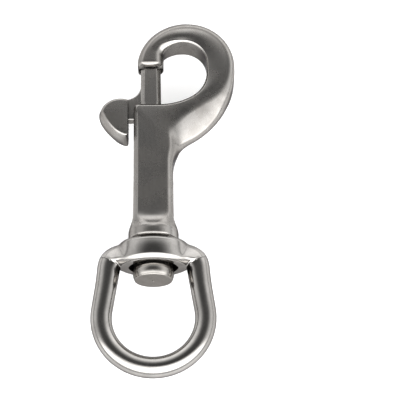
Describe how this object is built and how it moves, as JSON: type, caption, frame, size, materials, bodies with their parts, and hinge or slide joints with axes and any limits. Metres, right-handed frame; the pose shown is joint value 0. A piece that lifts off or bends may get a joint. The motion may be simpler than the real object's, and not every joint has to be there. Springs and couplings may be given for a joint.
{
  "type": "swivel eye bolt snap",
  "caption": "Cast stainless bolt snap: a hook closed by a spring-loaded sliding bolt with a thumb trigger, on a swivel eye with a round-bottomed hole.",
  "frame": {"origin": "bearing point at the bottom of the swivel eye's hole, on the swivel axis, halfway through the thickness", "axes": "+Y along the swivel axis towards the hook, +X towards the loop side of the hook, +Z out of the flat of the hook"},
  "size_m": [0.0444, 0.1158, 0.0184],
  "materials": {
    "satin_casting": "satin",
    "polished_casting": "polished",
    "turned_steel": "turned",
    "spring_wire": "drawn wire"
  },
  "bodies": {
    "body": {"hook_body": "satin_casting", "swivel_stud": "turned_steel", "bolt_spring": "spring_wire"},
    "bolt": {"latch_bolt": "satin_casting"},
    "eye": {"swivel_eye": "polished_casting"}
  },
  "joints": [
    {"name": "bolt_slide", "type": "slide", "parent": "body", "child": "bolt", "axis": [0, -1, 0], "range_m": [0, 0.014], "stiffness_N_per_m": 700, "springref_m": -0.011, "deforming": ["bolt_spring"]},
    {"name": "eye_swivel", "type": "hinge", "parent": "body", "child": "eye", "pos_m": [0, 0, 0], "axis": [0, 1, 0], "continuous": true}
  ]
}
